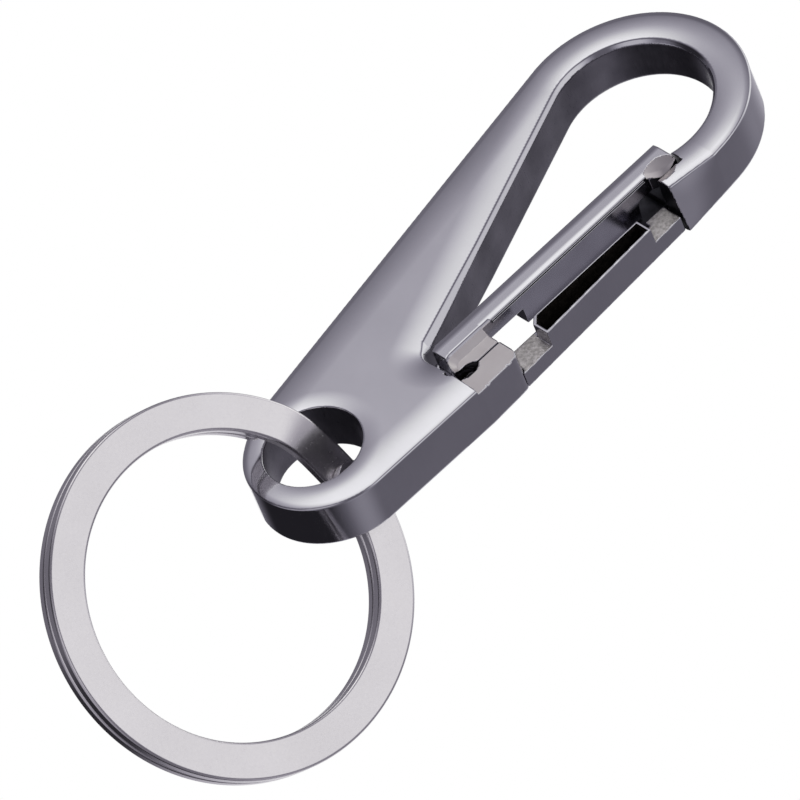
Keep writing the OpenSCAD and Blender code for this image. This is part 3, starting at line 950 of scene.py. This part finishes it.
def paint_rear():
    x, y, d = rear_mid.T
    across, _, ahead = rear_way.T
    off_back = d > -HALF_T + BACK_SKIN
    # The long pocket's floor gets the rough cast metal, whose near-black tone is partly painted
    # shade in the pocket
    pocket = (pocket_span(x, y, LEDGE_SKIN) < 0) & (d < level(1 - THICK) - POCKET_SKIN)
    # The shelf and the faces behind the gate's tip get near-black metal: painted shade in the
    # hollow between the bars
    shade = (x < SHADE_X) & (y > SHELF_FOOT - TIP_SKIN) & (y < TIP_TOP - WALL_SKIN)
    pocket, shade = pocket & off_back, shade & off_back
    ledge = (np.abs(d - level(1 - REAR)) < LEDGE_SKIN) & (ahead > SQUARE)
    ends = ledge & ((y < RAISED_FOOT) | (y > RAISED_HEAD)) & (y > LEDGE_FOOT)
    # The wall that faces the front bar gets the painted shade of the gap between the bars
    wall = (across < -STEEP) & (x < REAR_X + WALL_SKIN)
    paint(rear_piece, [polished, pocket_cast_and_shade, wall_painted_shade, raw_cast, shade_black],
          [(shade, 4), (pocket, 1), (ends, 3), (wall, 2)])


def make_spring():
    """A copy of the spring that the gates press together as they open."""
    spring = nodes["gate_spring"].copy()
    spring.data = spring.data.copy()
    spring.name = "spring_coil"
    bpy.context.scene.collection.objects.link(spring)
    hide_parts("gate_spring")
    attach(spring, "clip")
    spring.data.materials.clear()
    spring.data.materials.append(spring_metal)
    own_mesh(spring)


paint_body()
paint_front()
paint_rear()
ring_piece.data.materials.append(ring_metal)
make_spring()
for node_name, node_metal in (
        ("hook_body", polished), ("front_gate", polished), ("rear_gate", polished),
        ("hinge_pin", pin_metal), ("gate_spring", spring_metal), ("split_ring", ring_metal)):
    nodes[node_name].data.materials.clear()
    nodes[node_name].data.materials.append(node_metal)

# Stage and light

FLOOR_HALF = 4.0
FLOOR_Z = -1.2
FLOOR_COLOUR = (0.85, 0.85, 0.86, 1)
WORLD_WHITE = (1, 1, 1, 1)
WORLD_LIGHT = (0.6, 0.6, 0.62, 1)
TENT_R = 1.1
TENT_AT = mm(3, 0, -30)
TENT_OPENING = math.radians(14)
TENT_BASE = 0.17
TENT_DARK_TINT = (0.96, 0.9, 1.12, 1)
# Each panel: azimuth, elevation, half-width where it is full, where it ends, brightness
PANELS = (
    (-22, 12, 8, 40, 0.56),
    (-22, 14, 7, 22, 0.55),
    (-80, 10, 5, 50, 0.06),
    (55, 28, 12, 38, 0.72),
    (105, 18, 8, 26, 0.1),
    (120, -8, 6, 26, 0.25),
    (180, 6, 20, 44, 0.6),
    (10, 90, 15, 50, 0.9),
    (-150, 25, 8, 30, 0.3),
    (-170, -34, 30, 50, -0.15),
    (-64, -44, 14, 34, -0.14),
    (30, -42, 8, 28, 0.5),
    (0, -90, 8, 40, 0.3),
)


def make_floor():
    s, z = FLOOR_HALF, FLOOR_Z
    mesh = bpy.data.meshes.new("floor")
    mesh.from_pydata([(-s, -s, z), (s, -s, z), (s, s, z), (-s, s, z)], [], [(0, 1, 2, 3)])
    floor = show("floor", mesh)
    material, tree = new_tree("floor_pale")
    out = add(tree, "OutputMaterial")
    bsdf = add(tree, "BsdfPrincipled", Roughness=0.9, Base_Color=FLOOR_COLOUR)
    link(tree, bsdf, "BSDF", out, "Surface")
    mesh.materials.append(material)


def make_world():
    """White where the camera, metal or glass sees it, and plain soft light on the object."""
    world = bpy.data.worlds.new("studio")
    bpy.context.scene.world = world
    world.use_nodes = True
    tree = world.node_tree
    tree.nodes.clear()
    out = add(tree, "OutputWorld")
    background = add(tree, "Background")
    path = add(tree, "LightPath")
    first = add(tree, "Math", operation="ADD")
    second = add(tree, "Math", operation="ADD", use_clamp=True)
    mix = add(tree, "Mix", data_type="RGBA", A=WORLD_LIGHT, B=WORLD_WHITE)
    link(tree, path, "Is Camera Ray", first, 0)
    link(tree, path, "Is Glossy Ray", first, 1)
    link(tree, first, 0, second, 0)
    link(tree, path, "Is Transmission Ray", second, 1)
    link(tree, second, 0, mix, "Factor")
    link(tree, mix, "Result", background, "Color")
    link(tree, background, "Background", out, "Surface")


def way(azimuth, elevation):
    """Direction at an azimuth from the front towards +X, and an elevation."""
    a, e = math.radians(azimuth), math.radians(elevation)
    return Vector((math.sin(a) * math.cos(e), -math.cos(a) * math.cos(e), math.sin(e)))


def tent_mesh():
    """A sphere without the faces behind the object, where the metal sees the white background."""
    bm = bmesh.new()
    bmesh.ops.create_icosphere(bm, subdivisions=5, radius=TENT_R)
    limit = math.cos(TENT_OPENING)
    behind = [f for f in bm.faces if f.calc_center_median().normalized().dot(-BACK) > limit]
    bmesh.ops.delete(bm, geom=behind, context="FACES")
    mesh = bpy.data.meshes.new("tent")
    bm.to_mesh(mesh)
    bm.free()
    return mesh


def tent_cloth():
    """A grey glow, to which each panel adds its own, fading smoothly with the angle from it."""
    material, tree = new_tree("tent_cloth")
    out = add(tree, "OutputMaterial")
    glow = add(tree, "Emission")
    coords = add(tree, "TexCoord")
    unit = add(tree, "VectorMath", operation="NORMALIZE")
    link(tree, coords, "Object", unit, 0)
    total = None
    for azimuth, elevation, full, end, brightness in PANELS:
        dot = add(tree, "VectorMath", operation="DOT_PRODUCT")
        dot.inputs[1].default_value = way(azimuth, elevation)
        link(tree, unit, 0, dot, 0)
        angle = add(tree, "Math", operation="ARCCOSINE")
        link(tree, dot, "Value", angle, 0)
        soft = add(tree, "MapRange", interpolation_type="SMOOTHSTEP",
                   From_Min=math.radians(end), From_Max=math.radians(full), To_Max=brightness)
        link(tree, angle, 0, soft, "Value")
        more = add(tree, "Math", operation="ADD")
        if total is None:
            more.inputs[0].default_value = TENT_BASE
        else:
            link(tree, total, 0, more, 0)
        link(tree, soft, "Result", more, 1)
        total = more
    tint = add(tree, "Mix", data_type="RGBA", A=TENT_DARK_TINT, B=WORLD_WHITE)
    link(tree, total, 0, tint, "Factor")
    link(tree, tint, "Result", glow, "Color")
    link(tree, total, 0, glow, "Strength")
    link(tree, glow, "Emission", out, "Surface")
    return material


def make_tent():
    """The studio tent that the metal reflects: soft panels in a grey shell."""
    mesh = tent_mesh()
    tent = show("tent", mesh)
    tent.location = TENT_AT
    tent.visible_camera = False
    tent.visible_diffuse = False
    tent.visible_shadow = False
    mesh.materials.append(tent_cloth())


make_floor()
make_world()
make_tent()

scene = bpy.context.scene
scene.view_settings.view_transform = "Standard"
